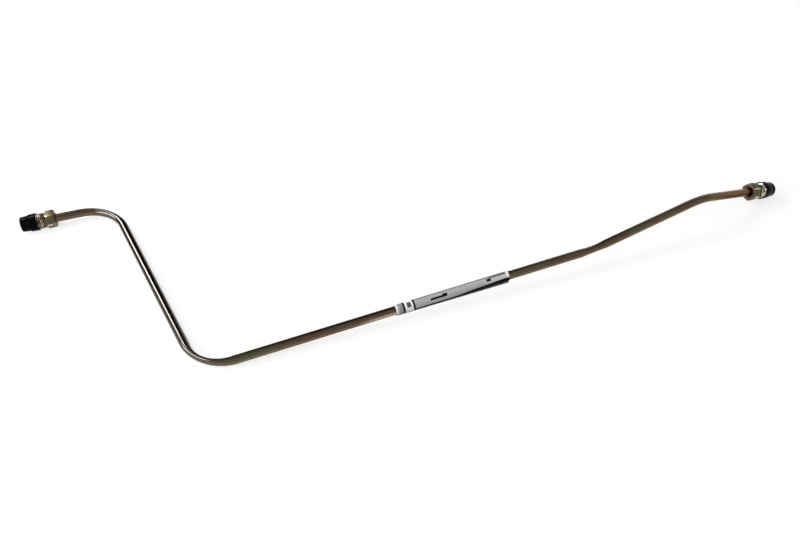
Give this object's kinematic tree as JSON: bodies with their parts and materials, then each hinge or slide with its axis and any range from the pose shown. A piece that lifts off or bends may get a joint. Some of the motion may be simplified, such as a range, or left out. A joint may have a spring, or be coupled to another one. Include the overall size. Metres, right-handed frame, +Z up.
{
  "type": "brake line",
  "caption": "Formed steel brake pipe with inverted flare ends, trapped tube nuts, push-on dust caps and a wrapped label.",
  "frame": {"origin": "on the floor, under the middle of the box of the pipe as it lies", "axes": "+X from the end with the short arm to the end with the long run, +Z up from the floor, +Y away from the viewer"},
  "size_m": [0.4478, 0.1294, 0.0188],
  "materials": {
    "chromated_steel": "bright tube with a brown and olive chromate film",
    "plated_nut": "bright turned steel with a golden chromate film",
    "cap_plastic": "glossy black moulded plastic",
    "label_foil": "pale grey film with black and white printed fields"
  },
  "bodies": {
    "pipe": {"pipe": "chromated_steel", "label": "label_foil"},
    "left_nut": {"left_tube_nut": "plated_nut"},
    "left_cap": {"left_cap": "cap_plastic"},
    "right_nut": {"right_tube_nut": "plated_nut"},
    "right_cap": {"right_cap": "cap_plastic"}
  },
  "joints": [
    {"name": "left_nut_turn", "type": "hinge", "parent": "pipe", "child": "left_nut", "pos_m": [-0.21924, 0.03053, 0.00539], "axis": [-0.9394, -0.34, 0.0442], "continuous": true},
    {"name": "left_cap_pull", "type": "slide", "parent": "left_nut", "child": "left_cap", "axis": [-0.9394, -0.34, 0.0442], "range_m": [0, 0.006]},
    {"name": "right_nut_turn", "type": "hinge", "parent": "pipe", "child": "right_nut", "pos_m": [0.219, 0.05953, 0.00493], "axis": [0.8977, 0.3783, -0.2257], "continuous": true},
    {"name": "right_cap_pull", "type": "slide", "parent": "right_nut", "child": "right_cap", "axis": [0.8977, 0.3783, -0.2257], "range_m": [0, 0.006]}
  ]
}
